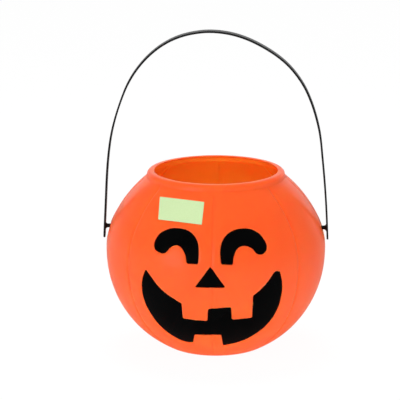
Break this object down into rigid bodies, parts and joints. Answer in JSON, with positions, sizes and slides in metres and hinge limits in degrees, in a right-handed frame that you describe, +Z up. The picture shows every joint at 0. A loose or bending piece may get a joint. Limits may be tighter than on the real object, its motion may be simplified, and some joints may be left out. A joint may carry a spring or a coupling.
{
  "type": "candy pail",
  "caption": "Lobed pumpkin pail with a friendly jack-o'-lantern face, an open mouth at the top and a swinging strap handle.",
  "frame": {"origin": "middle of the foot, on the surface that the pail stands on", "axes": "+Z up, the face looks towards -Y, the handle's pegs lie along X"},
  "size_m": [0.2062, 0.1999, 0.2933],
  "materials": {
    "orange_shell": "satin blow-moulded polyethylene, slightly translucent",
    "black_paint": "gloss paint",
    "green_label": "smooth label paper",
    "black_strap": "satin moulded plastic"
  },
  "bodies": {
    "pail": {"pail_shell": "orange_shell", "left_eye_paint": "black_paint", "right_eye_paint": "black_paint", "nose_paint": "black_paint", "mouth_paint": "black_paint", "blank_label": "green_label"},
    "handle": {"strap_handle": "black_strap"}
  },
  "joints": [
    {"name": "handle_swing", "type": "hinge", "parent": "pail", "child": "handle", "pos_m": [0, 0, 0.1113], "axis": [1, 0, 0], "range_deg": [-120, 120]}
  ]
}
